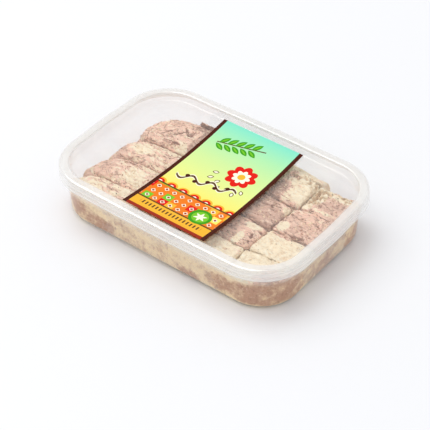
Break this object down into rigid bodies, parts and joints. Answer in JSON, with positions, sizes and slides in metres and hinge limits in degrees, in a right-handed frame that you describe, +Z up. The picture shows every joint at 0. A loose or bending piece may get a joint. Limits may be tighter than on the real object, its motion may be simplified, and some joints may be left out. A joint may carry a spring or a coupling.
{
  "type": "tub of sesame halva",
  "caption": "Shut flat clear plastic tub with a snap lid and a printed label strip, packed with lumpy logs of pale sesame halva marbled with cocoa.",
  "frame": {"origin": "middle of the tub's underside, on the surface it stands on", "axes": "+X along the pack's long side, +Y towards its back, +Z up through the lid"},
  "size_m": [0.184, 0.1236, 0.036],
  "materials": {
    "clear_plastic": "clear, slightly milky moulded polypropylene with a soft gloss",
    "label_print": "satin printed film, blue-green running to yellow between dark brown borders",
    "halva_cocoa": "dry, fibrous and crumbly, pinkish light brown",
    "halva_marbled": "dry, fibrous and crumbly, cream streaked with cocoa",
    "halva_cream": "dry, fibrous and crumbly, pale cream"
  },
  "bodies": {
    "root": {"tub": "clear_plastic", "lid": "clear_plastic", "label": "label_print", "halva_row1_left": "halva_cocoa", "halva_row1_middle": "halva_cream", "halva_row1_right": "halva_marbled", "halva_row2_left": "halva_marbled", "halva_row2_middle": "halva_cocoa", "halva_row2_right": "halva_cocoa", "halva_row3_left": "halva_marbled", "halva_row3_middle": "halva_marbled", "halva_row3_right": "halva_cream", "halva_row4_left": "halva_cream", "halva_row4_middle": "halva_cream", "halva_row4_right": "halva_cream", "halva_chip": "halva_cocoa"}
  },
  "joints": []
}
